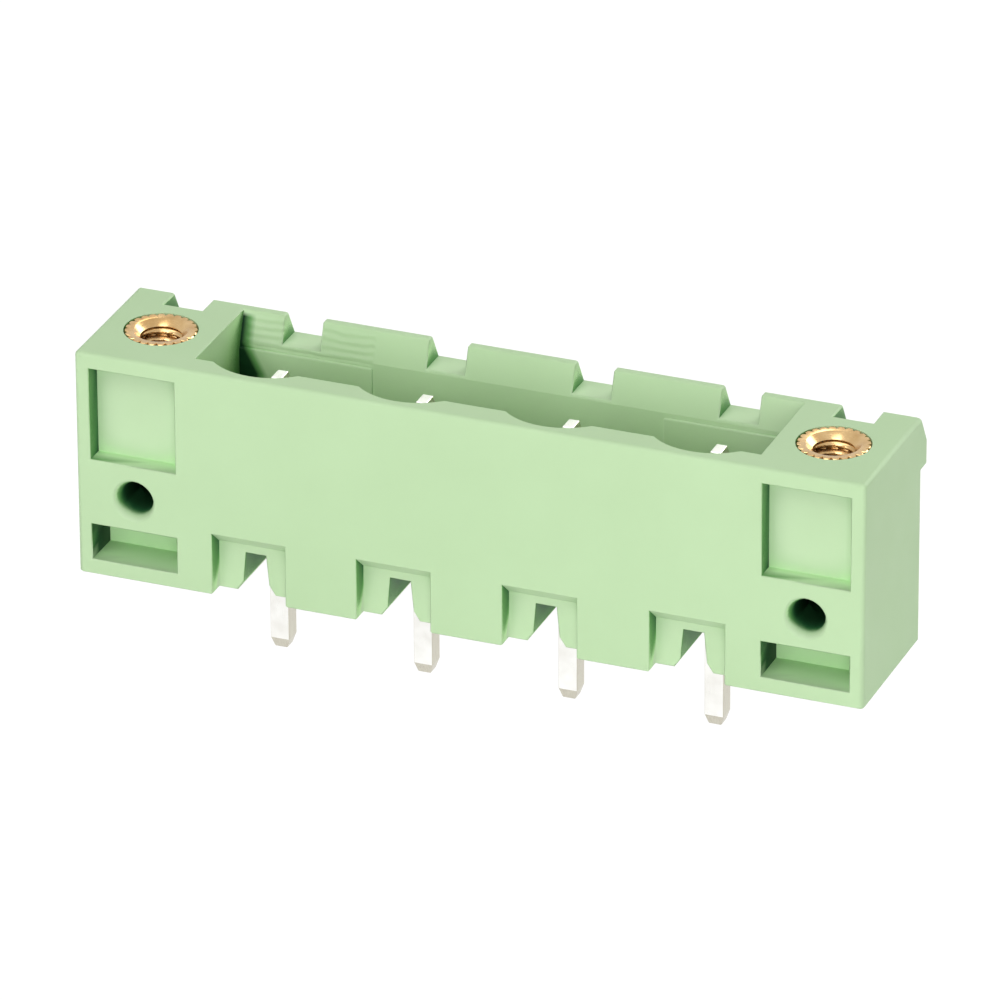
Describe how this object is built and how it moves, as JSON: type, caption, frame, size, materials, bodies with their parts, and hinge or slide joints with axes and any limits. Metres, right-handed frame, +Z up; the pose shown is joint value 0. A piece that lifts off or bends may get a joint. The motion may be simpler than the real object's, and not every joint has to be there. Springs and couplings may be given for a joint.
{
  "type": "pluggable terminal block socket",
  "caption": "Upright board header with a scalloped plug cavity, latch ledge, square solder pins and threaded flange inserts.",
  "frame": {"origin": "middle of the pin row in the plane of the circuit board's surface", "axes": "+X along the pin row, +Y to the latching side, +Z up out of the plug's mouth"},
  "size_m": [0.041, 0.0087, 0.0164],
  "materials": {
    "housing": "pale green moulded polyamide, satin",
    "contact": "bright tin plating on copper alloy",
    "insert": "turned brass, knurled outside"
  },
  "bodies": {
    "root": {"housing": "housing", "pin_1": "contact", "pin_2": "contact", "pin_3": "contact", "pin_4": "contact", "insert_left": "insert", "insert_right": "insert"}
  },
  "joints": []
}
